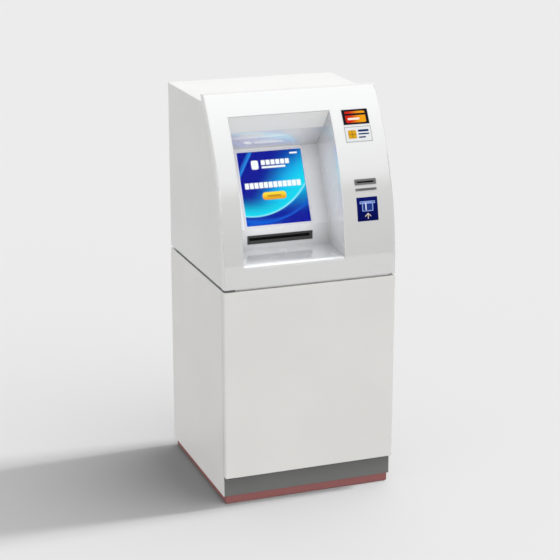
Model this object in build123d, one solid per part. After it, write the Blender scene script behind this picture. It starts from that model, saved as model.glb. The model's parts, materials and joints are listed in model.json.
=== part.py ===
from build123d import *

import os
from math import asin, cos, hypot, radians, sin, sqrt

# Lobby cash machine. Millimetres, +Z up, the customer stands on the -Y side.
# Origin: centre of the footprint, on the floor.
# Helper functions take depth "d" measured back from the frontmost plane, so y = d - DEPTH / 2.

# ---------------------------------------------------------------- overall sizes
WIDTH = 620.0
DEPTH = 614.0
HEIGHT = 1400.0
HALF = WIDTH / 2
FRONT = -DEPTH / 2

# heights of the main breaks, from the floor
PLINTH_TOP = 30.0
DOOR_BOTTOM = 105.0
CABINET_TOP = 771.0
UPPER_BOTTOM = 780.0
HOOD_TOP = 1376.0

SHEET = 2.0             # folded sheet steel
PLINTH_INSET = 9.0      # plinth stands in from the side panels and the rear
PLINTH_RING = 95.0      # width of the plinth's steel ring
PLINTH_CHAMFER = 4.0
PANEL_FRONT = 25.0      # front edge of the cabinet's side panels
REAR_EDGE = DEPTH       # rear edge of the side panels and the hood
REAR_INSIDE = REAR_EDGE - 6.0   # front face of the turned-in rear edges
NECK_INSET = 16.0       # shadow gap between cabinet and upper unit
NECK_WALL = 20.0

# ---------------------------------------------------------------- rear covers, fan and cable entry
LOWER_REAR_Z = (PLINTH_TOP + 2, CABINET_TOP - 4)
UPPER_REAR_Z = (UPPER_BOTTOM + 4, HOOD_TOP - 4)
REAR_FLANGE = 15.0      # width of the turned-in rear edges
LOUVRE_HEIGHT = 4.0
LOUVRE_PITCH = 9.0
LOWER_VENTS = [(0.0, 700.0, 6, 220.0)]      # centre x and z, rows and slot length
UPPER_VENTS = [(170.0, 1260.0, 11, 96.0), (-150.0, 1260.0, 11, 170.0)]
SCREW_RADIUS = 2.5
SCREW_HEAD_RADIUS = 4.5
SCREW_X = 298.0
SCREW_MARGIN = 20.0     # from a cover's upper and lower edge to its end screws
FAN_X = 170.0
FAN_Z = 1260.0
FAN_SIZE = 120.0
FAN_HOLE = 52.5         # from the fan's axis to its screw holes, each way
FAN_SHAFT_RADIUS = 2.0
FAN_BLADES = 7
CABLE_X = -210.0
CABLE_Z = 110.0
CABLE_RADIUS = 16.0
GROMMET_WALL = 4.0

# ---------------------------------------------------------------- fascia
CURVE_START = 804.5     # the fascia is upright below this height
CURVE_RADIUS = 962.0    # and leans back on one arc above it
SKIN = 3.0
FLANGE = 22.0           # depth of the fascia's edge
EDGE_RADIUS = 7.0
SEAM = 2.0              # gap between the fascia and the hood
OPENING_EDGE = 1.6      # rounding of the recess opening's outer edge

# customer recess: clear width, and the points (d, z) its surfaces run through
RECESS_X = (-240.0, 122.0)
SILL = 846.0
LIP_RADIUS = 11.0
TRAY_FRONT = (3.0 + LIP_RADIUS, SILL + LIP_RADIUS)
TRAY_BACK = (153.0, 866.0)
PANEL_FOOT = (153.0, 940.0)
PANEL_TILT = 25.0       # the screen panel leans back from upright
PANEL_HEAD_Z = 1192.0
CEILING_RADIUS = 500.0
CEILING_FRONT = (211.0, 1263.0)
OPENING_TOP = (156.2, 1330.0)
LINER = 3.0

# screen, in the screen panel's own plane: x, and v measured up from the panel's foot
SCREEN_X = (-174.5, 60.0)
SCREEN_V = (9.0, 266.0)
RIM = 6.0
RIM_RISE = 1.8
GLASS = 3.0
AIR_GAP = 0.5           # between the cover glass and the display's face

# cash slot, on the upright strip under the screen
CASH_X = (-174.5, 62.0)
CASH_Z = (887.0, 916.3)
CASH_SLIT_X = (-165.0, 47.0)
CASH_SLIT_Z = (901.8, 907.0)
CASH_MOUTH = (3.0, 2.0)         # how far the mouth stands clear of the slit, sideways and up
SHUTTER_TRAVEL = 6.3
SHUTTER_X = (CASH_SLIT_X[0] - 4, CASH_SLIT_X[1] + 4)
SHUTTER_Z = (CASH_SLIT_Z[0] - 1.0, CASH_SLIT_Z[1] + 0.5)
SHUTTER_D = (TRAY_BACK[0] + 4.0, TRAY_BACK[0] + 5.6)

# card and receipt column to the right of the recess
COLUMN_X = 211.0
CARD_Z = 1099.0
CARD_SIZE = (78.0, 19.6)
RECEIPT_Z = 1074.5
RECEIPT_SIZE = (77.0, 8.2)
RECEIPT_SLIT = (60.0, 1.4)
THROAT = (62.0, 3.0)            # clear width and height for a bank card
READER_BACK = -165.0            # rear of the reader, measured in from the fascia
GATE_DEPTH = (-18.0, -17.0)
GATE_TRAVEL = 6.0

# receipt printer: chassis box and the places (d, z) of its two axes
PRINTER_X = (169.0, 253.0)
PRINTER_D = (56.0, 186.0)
PRINTER_Z = (905.0, 1025.0)
PRINTER_WALL = 3.0
PAPER_WIDTH = 57.0
ROLL_PLACE = (142.0, 960.0)
ROLL_RADIUS = 36.0
SPINDLE_RADIUS = 6.0
PLATEN_PLACE = (80.0, 1005.0)
PLATEN_RADIUS = 8.0

# labels: thickness, then the x and z ranges of each
LABEL = 0.4
GUIDE_PLACE = ((173.0, 249.0), (970.0, 1049.0))
UPPER_SCHEME_PLACE = ((162.5, 259.5), (1280.0, 1329.0))
LOWER_SCHEME_PLACE = ((162.5, 259.5), (1226.5, 1275.0))

# ---------------------------------------------------------------- slide-out carriage and its lock
RAIL_Z = (900.0, 945.0)
ARM_X = (286.0, 289.0)
SHELF_Z = (800.0, 803.0)
LOCK_D = 300.0
LOCK_Z = 1030.0
LOCK_RADIUS = 9.0
PLUG_RADIUS = 5.0
PLUG_X = (282.0, HALF - 1)
TONGUE = 40.0

# ---------------------------------------------------------------- door and safe
DOOR_THICK = 22.0
DOOR_PIVOT = (-297.0, 11.0)     # x and d of the door's upright axis
PIN_RADIUS = 4.0
RUNNING = 0.05                  # radial clearance of a running fit
SAFE_X = 296.0
SAFE_D = (48.0, 596.0)
SAFE_Z = (PLINTH_TOP, 766.0)
SAFE_WALL = 8.0
JAMB_D = 42.0
DOORWAY_X = 262.0
DOORWAY_Z = (108.0, 732.0)
SLAB_GAP = 3.0
SLAB_D = (50.0, 62.0)
BOLT_D = 74.0
BOLT_RADIUS = 8.0
BOLT_HEIGHTS = (200.0, 420.0, 640.0)
ANCHOR_X = 230.0
ANCHOR_Y = 215.0
ANCHOR_RADIUS = 9.0
BOLT_X = (214.0, 254.0)         # bolts drawn back
BAR_X = (196.0, 214.0)
GUIDE_X = (236.0, 252.0)
ACTUATOR_X = (60.0, 150.0)
LOCK_ROD_RADIUS = 5.0
LOCK_ROD_Z = 420.0
CHANNEL_X = (185.0, 215.0)
CHANNEL_Z = (130.0, 710.0)

# ---------------------------------------------------------------- dispenser
CASSETTE_X = 115.0
CASSETTE_D = (132.0, 492.0)
CASSETTE_H = 112.0
CASSETTE_PITCH = 130.0
CASSETTE_FLOOR = 150.0
REJECT_H = 84.0
REJECT_FLOOR = CASSETTE_FLOOR + 3 * CASSETTE_PITCH
CASE_WALL = 4.0
GRIP_X = (-56.0, 56.0)          # finger grip in a cassette's front
GRIP_HEIGHT = 34.0
GRIP_DEPTH = 27.0
FRAME_D = (150.0, 560.0)
FRAME_TOP = 700.0
FRAME_SHEET = 3.0
PICK_D = 522.0
PICK_RADIUS = 15.0
PICK_TYRES = (-60.0, 0.0, 60.0)
PICK_HEIGHTS = [CASSETTE_FLOOR + CASSETTE_PITCH * i + CASSETTE_H - 20 for i in range(3)]
DUCT_X = (-172.0, 60.0)
ROLLER_RADIUS = 9.9
SHAFT_RADIUS = 3.0
NIP_Z = 904.0
NIP_D = 186.0
EXIT_TYRES = (-130.0, -56.0, 18.0)
EXIT_TYRE_WIDTH = 20.0
EXIT_SHAFTS = (NIP_Z - 10.0, NIP_Z + 10.0)

# ---------------------------------------------------------------- controller
CONTROLLER_X = (-280.0, -40.0)
CONTROLLER_D = (400.0, 590.0)
CONTROLLER_TOP = 900.0


# ================================================================ helpers
def block(x, d, z):
    """Box between two corners; d is depth behind the front plane."""
    size = (x[1] - x[0], d[1] - d[0], z[1] - z[0])
    centre = ((x[0] + x[1]) / 2, FRONT + (d[0] + d[1]) / 2, (z[0] + z[1]) / 2)
    return Pos(*centre) * Box(*size)


def rod_x(radius, x, d, z):
    """Cylinder along X."""
    return Pos((x[0] + x[1]) / 2, FRONT + d, z) * Rot(0, 90, 0) * Cylinder(radius, x[1] - x[0])


def rod_y(radius, x, d, z):
    """Cylinder along Y."""
    return Pos(x, FRONT + (d[0] + d[1]) / 2, z) * Rot(90, 0, 0) * Cylinder(radius, d[1] - d[0])


def rod_z(radius, x, d, z):
    """Cylinder along Z."""
    return Pos(x, FRONT + d, (z[0] + z[1]) / 2) * Cylinder(radius, z[1] - z[0])


def across(edges, x):
    """Solid with a side-view outline of (d, z) edges, running from x[0] to x[1]."""
    face = make_face(edges)
    return Pos(x[0], FRONT, 0) * extrude(Plane.YZ * face, amount=x[1] - x[0])


def outline(*points):
    """Closed polygon through (d, z) points."""
    return Polyline(*points, close=True).edges()


def shallow_arc(start, end, radius, side):
    """Arc from start to end that bulges to the left (side 1) or right (side -1) of the chord."""
    run = (end[0] - start[0], end[1] - start[1])
    chord = hypot(*run)
    rise = side * (radius - sqrt(radius**2 - chord**2 / 4))
    middle = ((start[0] + end[0]) / 2 - rise * run[1] / chord,
              (start[1] + end[1]) / 2 + rise * run[0] / chord)
    return ThreePointArc(start, middle, end)


def curve_depth(z, inward=0.0):
    """Depth of the fascia's curve at height z, moved inward along its normal."""
    rise = max(z - CURVE_START, 0.0)
    return CURVE_RADIUS - sqrt((CURVE_RADIUS - inward)**2 - rise**2)


def behind_curve(inward, x, z, rear=DEPTH):
    """Everything behind the fascia's curve, between two heights."""
    foot = (inward, z[0])
    start = (inward, CURVE_START)
    top = (curve_depth(z[1], inward), z[1])
    middle_z = CURVE_START + (z[1] - CURVE_START) * 0.5
    arc = ThreePointArc(start, (curve_depth(middle_z, inward), middle_z), top)
    rest = Polyline(top, (rear, z[1]), (rear, z[0]), foot, start)
    return across(arc.edges() + rest.edges(), x)


def on_fascia(z):
    """Plane lying on the fascia at height z: local Z points out, local Y up the slope."""
    lean = asin((z - CURVE_START) / CURVE_RADIUS)
    origin = (0, FRONT + curve_depth(z), z)
    return Plane(origin=origin, x_dir=(1, 0, 0), z_dir=(0, -cos(lean), sin(lean)))


def on_panel():
    """Plane of the screen panel: local Z points at the customer, local Y up the slope."""
    lean = radians(PANEL_TILT)
    origin = (0, FRONT + PANEL_FOOT[0], PANEL_FOOT[1])
    return Plane(origin=origin, x_dir=(1, 0, 0), z_dir=(0, -cos(lean), sin(lean)))


def plate_on(plane, x, y, z):
    """Box given in a plane's own x, y and z ranges."""
    size = (x[1] - x[0], y[1] - y[0], z[1] - z[0])
    centre = ((x[0] + x[1]) / 2, (y[0] + y[1]) / 2, (z[0] + z[1]) / 2)
    return plane * Pos(*centre) * Box(*size)


def around(centre, size):
    """Range of the given size about a centre."""
    return (centre - size / 2, centre + size / 2)


def grown(span, margin):
    """Range widened by a margin at both ends."""
    return (span[0] - margin, span[1] + margin)


def front_face(shape):
    """The face that looks most directly at the customer."""
    return min(shape.faces(), key=lambda face: face.normal_at().Y)


def both_sides(shape):
    """The shape and its mirror image about the middle of the machine."""
    return [shape, mirror(shape, about=Plane.YZ)]


# ================================================================ cabinet
def base_plinth():
    """Steel ring the machine stands on, chamfered along its outer foot."""
    x = HALF - PLINTH_INSET
    d = (PANEL_FRONT + 1, REAR_EDGE - PLINTH_INSET)
    body = block((-x, x), d, (0, PLINTH_TOP))
    body = chamfer(body.faces().sort_by(Axis.Z)[0].edges(), PLINTH_CHAMFER)
    body -= block((PLINTH_RING - x, x - PLINTH_RING), grown(d, -PLINTH_RING), (-1, PLINTH_TOP + 1))
    return body - anchor_holes((-1, PLINTH_TOP + 1))


def anchor_holes(z):
    """Four upright cylinders for the floor bolts."""
    holes = [Pos(x, y, (z[0] + z[1]) / 2) * Cylinder(ANCHOR_RADIUS, z[1] - z[0])
             for x in (-ANCHOR_X, ANCHOR_X) for y in (-ANCHOR_Y, ANCHOR_Y)]
    return Compound(holes)


def kick_strip():
    x = HALF - SHEET
    return block((-x, x), (PANEL_FRONT, PANEL_FRONT + SHEET), (PLINTH_TOP, DOOR_BOTTOM))


def side_panel(side):
    x = (HALF - SHEET, HALF) if side > 0 else (-HALF, -HALF + SHEET)
    wall = block(x, (PANEL_FRONT, REAR_EDGE), (PLINTH_TOP, CABINET_TOP))
    return wall + rear_flange(side, (PLINTH_TOP, CABINET_TOP - SHEET), LOWER_REAR_Z)


def rear_flange(side, z, panel_z):
    """Turned-in edge that a rear panel is screwed to."""
    outer = HALF - SHEET + 0.5
    x = (outer - REAR_FLANGE, outer) if side > 0 else (-outer, REAR_FLANGE - outer)
    flange = block(x, (REAR_INSIDE, REAR_INSIDE + SHEET), z)
    for screw_x, screw_z in screw_places(panel_z):
        flange -= rod_y(SCREW_RADIUS, screw_x, (REAR_INSIDE - 2, REAR_EDGE), screw_z)
    return flange


def cabinet_top_plate():
    x = HALF - SHEET
    plate = block((-x, x), (PANEL_FRONT + 5, REAR_INSIDE), (CABINET_TOP - SHEET, CABINET_TOP))
    return plate - duct_clearance((CABINET_TOP - 5, CABINET_TOP + 5))


def rear_panel(z, vents):
    """Screwed rear cover with rows of louvre slots."""
    x = HALF - 2 * SHEET
    through = (REAR_INSIDE, REAR_EDGE)
    panel = block((-x, x), (REAR_INSIDE + SHEET, REAR_INSIDE + 2 * SHEET), z)
    for centre_x, centre_z, rows, length in vents:
        for row in range(rows):
            slot_z = centre_z + LOUVRE_PITCH * (row - (rows - 1) / 2)
            panel -= block(around(centre_x, length), through, around(slot_z, LOUVRE_HEIGHT))
    for screw_x, screw_z in screw_places(z):
        panel -= rod_y(SCREW_RADIUS, screw_x, through, screw_z)
    return panel


def screw_places(z):
    """x and z of the screws of a rear cover that spans the heights z."""
    heights = (z[0] + SCREW_MARGIN, (z[0] + z[1]) / 2, z[1] - SCREW_MARGIN)
    return [(x, height) for x in (-SCREW_X, SCREW_X) for height in heights]


def rear_panel_lower():
    panel = rear_panel(LOWER_REAR_Z, LOWER_VENTS)
    return panel - rod_y(CABLE_RADIUS + GROMMET_WALL, CABLE_X, (REAR_INSIDE, REAR_EDGE), CABLE_Z)


def rear_panel_upper():
    return rear_panel(UPPER_REAR_Z, UPPER_VENTS)


def rear_screws():
    screws = []
    for z in (LOWER_REAR_Z, UPPER_REAR_Z):
        for x, height in screw_places(z):
            head = rod_y(SCREW_HEAD_RADIUS, x, (REAR_EDGE - 2, REAR_EDGE), height)
            head -= rod_y(1.6, x, (REAR_EDGE - 1, REAR_EDGE + 1), height)
            screws.append(head + rod_y(SCREW_RADIUS, x, (REAR_EDGE - 12, REAR_EDGE - 2), height))
    return Compound(screws)


def cable_grommet():
    """Rubber ring in the lower rear panel, with an outer collar."""
    d = (REAR_INSIDE - 1, REAR_EDGE)
    ring = rod_y(CABLE_RADIUS + GROMMET_WALL, CABLE_X, d, CABLE_Z)
    ring += rod_y(CABLE_RADIUS + 2 * GROMMET_WALL, CABLE_X, (REAR_EDGE - 2, REAR_EDGE), CABLE_Z)
    return ring - rod_y(CABLE_RADIUS, CABLE_X, grown(d, 1), CABLE_Z)


def neck_collar():
    """Spacer ring between the cabinet and the upper unit."""
    d = (NECK_INSET, REAR_EDGE - NECK_INSET)
    x = HALF - NECK_INSET
    ring = block((-x, x), d, (CABINET_TOP, UPPER_BOTTOM))
    inner_x = x - NECK_WALL
    return ring - block((-inner_x, inner_x), grown(d, -NECK_WALL), (CABINET_TOP - 1, UPPER_BOTTOM + 1))


def upper_tray():
    """Floor of the upper unit."""
    x = HALF - 5
    tray = block((-x, x), (PANEL_FRONT + 2, REAR_INSIDE), (UPPER_BOTTOM, UPPER_BOTTOM + SHEET))
    return tray - duct_clearance((UPPER_BOTTOM - 1, UPPER_BOTTOM + 4))


def hood_shell():
    """Sheet hood behind the fascia: two sides and a top."""
    x = HALF - 1
    hood = behind_curve(FLANGE + SEAM, (-x, x), (UPPER_BOTTOM, HOOD_TOP))
    top_edges = hood.edges().filter_by(Axis.Y).group_by(Axis.Z)[-1]
    hood = fillet(top_edges, 4.0)
    hood -= block((SHEET - x, x - SHEET), (-50, DEPTH + 50), (0, HOOD_TOP - SHEET))
    for side in (-1, 1):
        hood += rear_flange(side, (UPPER_BOTTOM, HOOD_TOP - 1), UPPER_REAR_Z)
    return hood - rod_x(LOCK_RADIUS, (PLUG_X[0], HALF), LOCK_D, LOCK_Z)


def door_pivot_brackets():
    """Upper and lower bracket whose holes take the door's pivot pins."""
    x = (DOOR_PIVOT[0] - 8, DOOR_PIVOT[0] + 27)
    upper = block(x, (3, NECK_INSET), (CABINET_TOP + 2, CABINET_TOP + 6))
    lower = block(x, (3, PANEL_FRONT), (DOOR_BOTTOM - 8, DOOR_BOTTOM - 4))
    hole = rod_z(PIN_RADIUS + RUNNING, *DOOR_PIVOT, (DOOR_BOTTOM - 20, UPPER_BOTTOM))
    return Compound([upper - hole, lower - hole])


# ================================================================ safe
def safe_body():
    """Welded steel box with a heavy door frame; bolt holes in the right jamb."""
    shell = block((-SAFE_X, SAFE_X), SAFE_D, SAFE_Z)
    inside_d = (SAFE_D[0] + JAMB_D, SAFE_D[1] - SAFE_WALL)
    shell -= block((SAFE_WALL - SAFE_X, SAFE_X - SAFE_WALL), inside_d, grown(SAFE_Z, -SAFE_WALL))
    shell -= block((-DOORWAY_X, DOORWAY_X), (SAFE_D[0] - 1, SAFE_D[0] + JAMB_D + 1), DOORWAY_Z)
    for z in BOLT_HEIGHTS:
        shell -= rod_x(BOLT_RADIUS + 1, (DOORWAY_X - 1, DOORWAY_X + 24), BOLT_D, z)
    shell -= anchor_holes((SAFE_Z[0] - 1, SAFE_Z[0] + SAFE_WALL + 1))
    return shell - duct_clearance((SAFE_Z[1] - 20, SAFE_Z[1] + 2))


def safe_door_slab():
    """Plain steel safe door."""
    x = DOORWAY_X - SLAB_GAP
    return block((-x, x), SLAB_D, grown(DOORWAY_Z, -SLAB_GAP))


def bolt_guides():
    """Bored blocks on the safe door that the bolts slide in."""
    guides = []
    for z in BOLT_HEIGHTS:
        guide = block(GUIDE_X, (SLAB_D[1], BOLT_D + 13), around(z, 32))
        guides.append(guide - rod_x(BOLT_RADIUS + RUNNING, grown(GUIDE_X, 1), BOLT_D, z))
    return Compound(guides)


def lock_bolts():
    bolts = []
    for z in BOLT_HEIGHTS:
        bolt = rod_x(BOLT_RADIUS, BOLT_X, BOLT_D, z)
        tip = bolt.edges().filter_by(GeomType.CIRCLE).sort_by(Axis.X)[-1]
        bolts.append(chamfer(tip, 1.5))
    return Compound(bolts)


def bolt_bar():
    """Upright bar that carries the bolts, with the actuator's drive rod."""
    z = (BOLT_HEIGHTS[0] - 14, BOLT_HEIGHTS[-1] + 14)
    bar = block(BAR_X, (BOLT_D - 4, BOLT_D + 4), z)
    return bar + rod_x(LOCK_ROD_RADIUS, (ACTUATOR_X[1] - 38, BAR_X[0] + 1), BOLT_D, LOCK_ROD_Z)


def lock_actuator():
    """Motor drive that throws the bolts."""
    case = block(ACTUATOR_X, (SLAB_D[1], SLAB_D[1] + 28), around(LOCK_ROD_Z, 76))
    case = fillet(case.edges().filter_by(Axis.Z), 4)
    bore_x = (ACTUATOR_X[1] - 44, ACTUATOR_X[1] + 1)
    return case - rod_x(LOCK_ROD_RADIUS + RUNNING, bore_x, BOLT_D, LOCK_ROD_Z)


# ================================================================ lower door
def door_skin():
    """Folded cover pan over the safe door."""
    z = (DOOR_BOTTOM, CABINET_TOP)
    pan = block((-HALF, HALF), (0, DOOR_THICK), z)
    corners = pan.edges().filter_by(Axis.Z).group_by(Axis.Y)[0]
    pan = fillet(corners, 6.0)
    rims = pan.edges().filter_by(Axis.X).group_by(Axis.Y)[0]
    pan = fillet(rims, 1.5)
    hollow = block((SHEET - HALF, HALF - SHEET), (SHEET, DOOR_THICK + 1), grown(z, -SHEET))
    hollow = fillet(hollow.edges().filter_by(Axis.Z).group_by(Axis.Y)[0], 4.0)
    pan -= hollow
    return pan - rod_z(PIN_RADIUS + 0.5, *DOOR_PIVOT, (DOOR_BOTTOM - 1, CABINET_TOP + 1))


def door_hinge_blocks():
    """Blocks inside the pan that hold the pivot pins."""
    x = (DOOR_PIVOT[0] - 10, DOOR_PIVOT[0] + 12)
    blocks = []
    for z in ((DOOR_BOTTOM + SHEET, DOOR_BOTTOM + 26), (CABINET_TOP - 26, CABINET_TOP - SHEET)):
        body = block(x, (2 * SHEET, DOOR_THICK - 2), z)
        blocks.append(body - rod_z(PIN_RADIUS, *DOOR_PIVOT, grown(z, 1)))
    return Compound(blocks)


def door_pivot_pins():
    lower = rod_z(PIN_RADIUS, *DOOR_PIVOT, (DOOR_BOTTOM - 8, DOOR_BOTTOM + 25))
    upper = rod_z(PIN_RADIUS, *DOOR_PIVOT, (CABINET_TOP - 25, CABINET_TOP + 6))
    return Compound([lower, upper])


def door_channels():
    """Two upright hat sections that stand the cover pan off the safe door."""
    wall = 3.0
    channel = block(CHANNEL_X, (SHEET, SLAB_D[0]), CHANNEL_Z)
    channel -= block(grown(CHANNEL_X, -wall), (SHEET + wall, SLAB_D[0] + 1), grown(CHANNEL_Z, 1))
    return Compound(both_sides(channel))


# ================================================================ cash dispenser
def cassette_range(index):
    """Heights of a cassette, counted from the lowest."""
    floor = CASSETTE_FLOOR + CASSETTE_PITCH * index
    return (floor, floor + CASSETTE_H)


def note_box(z):
    """Lidded note cassette with a finger grip moulded into its front."""
    x = (-CASSETTE_X, CASSETTE_X)
    case = block(x, CASSETTE_D, z)
    case = fillet(case.edges().filter_by(Axis.Y), 5.0)
    case -= block(grown(x, -CASE_WALL), grown(CASSETTE_D, -5), grown(z, -CASE_WALL))
    front = CASSETTE_D[0]
    grip_z = around((z[0] + z[1]) / 2, GRIP_HEIGHT)
    case += block(grown(GRIP_X, 6), (front + 5, front + GRIP_DEPTH + CASE_WALL), grown(grip_z, CASE_WALL))
    case -= block(GRIP_X, (front - 1, front + GRIP_DEPTH), grip_z)
    case += block(GRIP_X, (front, front + 8), (grip_z[1] - 12, grip_z[1]))
    throat = block((-85, 85), (CASSETTE_D[1] - 6, CASSETTE_D[1] + 1), around(z[1] - 20, 10))
    return case - throat


def dispenser_frame():
    """Two side plates on a base, with a ledge under each cassette."""
    foot = SAFE_Z[0] + SAFE_WALL
    side_x = (CASSETTE_X + 6, CASSETTE_X + 6 + FRAME_SHEET)
    plate = block(side_x, FRAME_D, (foot, FRAME_TOP))
    for floor in [cassette_range(i)[0] for i in range(3)] + [REJECT_FLOOR]:
        plate += block((CASSETTE_X - 14, side_x[0]), (FRAME_D[0], 486), (floor - 4, floor - 1))
    for z in PICK_HEIGHTS:
        plate -= rod_x(SHAFT_RADIUS + RUNNING, grown(side_x, 1), PICK_D, z)
    across_x = (-side_x[1], side_x[1])
    base = block(across_x, FRAME_D, (foot, foot + 4))
    back = block(across_x, (FRAME_D[1] - FRAME_SHEET, FRAME_D[1]), (foot, FRAME_TOP))
    plates = both_sides(plate)
    return plates[0] + plates[1] + base + back


def grooved_roller(x, d, z, radius, tyres, tyre_width):
    """Shaft with rubber tyres at the given places."""
    roller = rod_x(SHAFT_RADIUS, x, d, z)
    for place in tyres:
        roller += rod_x(radius, around(place, tyre_width), d, z)
    return roller


def pick_roller(index):
    x = (-CASSETTE_X - 12, CASSETTE_X + 12)
    return grooved_roller(x, PICK_D, PICK_HEIGHTS[index], PICK_RADIUS, PICK_TYRES, 24)


def duct_clearance(z):
    """Opening for the note duct through a floor at the heights z."""
    return block(grown(DUCT_X, 8), (206, 234), z)


def note_duct():
    """Folded guide that leads notes up from the safe and forward to the cash slot."""
    outer = outline((170, 898), (202, 898), (212, 888), (212, 704),
                    (228, 704), (228, 892), (210, 910), (170, 910))
    inner = outline((169, 900), (203, 900), (214, 889), (214, 703),
                    (226, 703), (226, 891), (209, 908), (169, 908))
    duct = across(outer, DUCT_X) - across(inner, grown(DUCT_X, 1))
    cheek_d = (176, 228)
    for x in ((DUCT_X[0] - 3, DUCT_X[0]), (DUCT_X[1], DUCT_X[1] + 3)):
        duct += block(x, cheek_d, (880, 926))
    for place in EXIT_TYRES:
        window = (NIP_D - ROLLER_RADIUS - 1, NIP_D + ROLLER_RADIUS + 1)
        duct -= block(around(place, EXIT_TYRE_WIDTH + 3), window, (890, 918))
    for z in EXIT_SHAFTS:
        duct -= rod_x(SHAFT_RADIUS + RUNNING, grown(DUCT_X, 5), NIP_D, z)
    return duct


def exit_roller(index):
    x = grown(DUCT_X, 5)
    return grooved_roller(x, NIP_D, EXIT_SHAFTS[index], ROLLER_RADIUS, EXIT_TYRES, EXIT_TYRE_WIDTH)


# ================================================================ upper electronics
def controller_case():
    """Hollow case with a row of upright air slots in its front."""
    z = (UPPER_BOTTOM + SHEET, CONTROLLER_TOP)
    case = block(CONTROLLER_X, CONTROLLER_D, z)
    case -= block(grown(CONTROLLER_X, -SHEET), grown(CONTROLLER_D, -SHEET), grown(z, -SHEET))
    for i in range(8):
        slot_x = CONTROLLER_X[0] + 40 + 24 * i
        case -= block(around(slot_x, 12), (CONTROLLER_D[0] - 1, CONTROLLER_D[0] + 3), (810, 870))
    return case


def fan_housing():
    """Square frame with crossed spokes and a bearing at the rear."""
    d = (REAR_EDGE - 30, REAR_EDGE - 4)
    frame = block(around(FAN_X, FAN_SIZE), d, around(FAN_Z, FAN_SIZE))
    frame = fillet(frame.edges().filter_by(Axis.Y), 6)
    frame -= rod_y(FAN_SIZE / 2 - 4, FAN_X, grown(d, 1), FAN_Z)
    for x in (FAN_X - FAN_HOLE, FAN_X + FAN_HOLE):
        for z in (FAN_Z - FAN_HOLE, FAN_Z + FAN_HOLE):
            frame -= rod_y(2.2, x, grown(d, 1), z)
    spoke_d = (REAR_EDGE - 9, REAR_EDGE - 4)
    for angle in (45, 135):
        frame += Pos(FAN_X, FRONT + sum(spoke_d) / 2, FAN_Z) * Rot(0, angle, 0) * Box(FAN_SIZE - 2, 5, 5)
    frame += rod_y(15, FAN_X, spoke_d, FAN_Z)
    return frame - rod_y(FAN_SHAFT_RADIUS + RUNNING, FAN_X, (REAR_EDGE - 10, REAR_EDGE - 5), FAN_Z)


def fan_rotor():
    """Hub, stub shaft and pitched blades, trimmed round."""
    rotor = rod_y(18, FAN_X, (REAR_EDGE - 28, REAR_EDGE - 10), FAN_Z)
    rotor += rod_y(FAN_SHAFT_RADIUS, FAN_X, (REAR_EDGE - 11, REAR_EDGE - 6), FAN_Z)
    blade = Pos(34, 0, 0) * Rot(38, 0, 0) * Box(36, 1.6, 20)
    for i in range(FAN_BLADES):
        rotor += Pos(FAN_X, FRONT + REAR_EDGE - 19, FAN_Z) * Rot(0, i * 360 / FAN_BLADES, 0) * blade
    return rotor & rod_y(FAN_SIZE / 2 - 6, FAN_X, (REAR_EDGE - 40, REAR_EDGE), FAN_Z)


# ================================================================ fascia and recess
def recess_space(margin=0.0):
    """The open space of the customer recess, run out through the fascia."""
    lean = radians(PANEL_TILT)
    head = (PANEL_FOOT[0] + (PANEL_HEAD_Z - PANEL_FOOT[1]) * sin(lean) / cos(lean), PANEL_HEAD_Z)
    sill_back = (TRAY_FRONT[0] - LIP_RADIUS, SILL)
    lip_middle = (TRAY_FRONT[0] - LIP_RADIUS * cos(radians(45)), SILL + LIP_RADIUS * sin(radians(45)))
    lip = ThreePointArc(sill_back, lip_middle, TRAY_FRONT)
    walls = Polyline(TRAY_FRONT, TRAY_BACK, PANEL_FOOT, head)
    ceiling = shallow_arc(head, CEILING_FRONT, CEILING_RADIUS, 1)
    mouth = Polyline(CEILING_FRONT, OPENING_TOP, (-60, OPENING_TOP[1]), (-60, SILL), sill_back)
    face = make_face(lip.edges() + walls.edges() + ceiling.edges() + mouth.edges())
    if margin:
        face = offset(face, amount=margin, kind=Kind.INTERSECTION)
    x = grown(RECESS_X, margin)
    return Pos(x[0], FRONT, 0) * extrude(Plane.YZ * face, amount=x[1] - x[0])


def brow_slab():
    """Upper slope of the recess, from the opening's top edge back to the ceiling."""
    run = (CEILING_FRONT[0] - OPENING_TOP[0], CEILING_FRONT[1] - OPENING_TOP[1])
    length = hypot(*run)
    normal = (-run[1] / length * LINER, run[0] / length * LINER)
    ahead = (OPENING_TOP[0] - run[0], OPENING_TOP[1] - run[1])
    edges = outline(CEILING_FRONT, ahead,
                    (ahead[0] + normal[0], ahead[1] + normal[1]),
                    (CEILING_FRONT[0] + normal[0], CEILING_FRONT[1] + normal[1]))
    return across(edges, RECESS_X)


def behind_skin():
    """Space behind the fascia's inner surface."""
    return behind_curve(SKIN + 0.1, (-HALF, HALF), (UPPER_BOTTOM, HEIGHT - SKIN))


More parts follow.
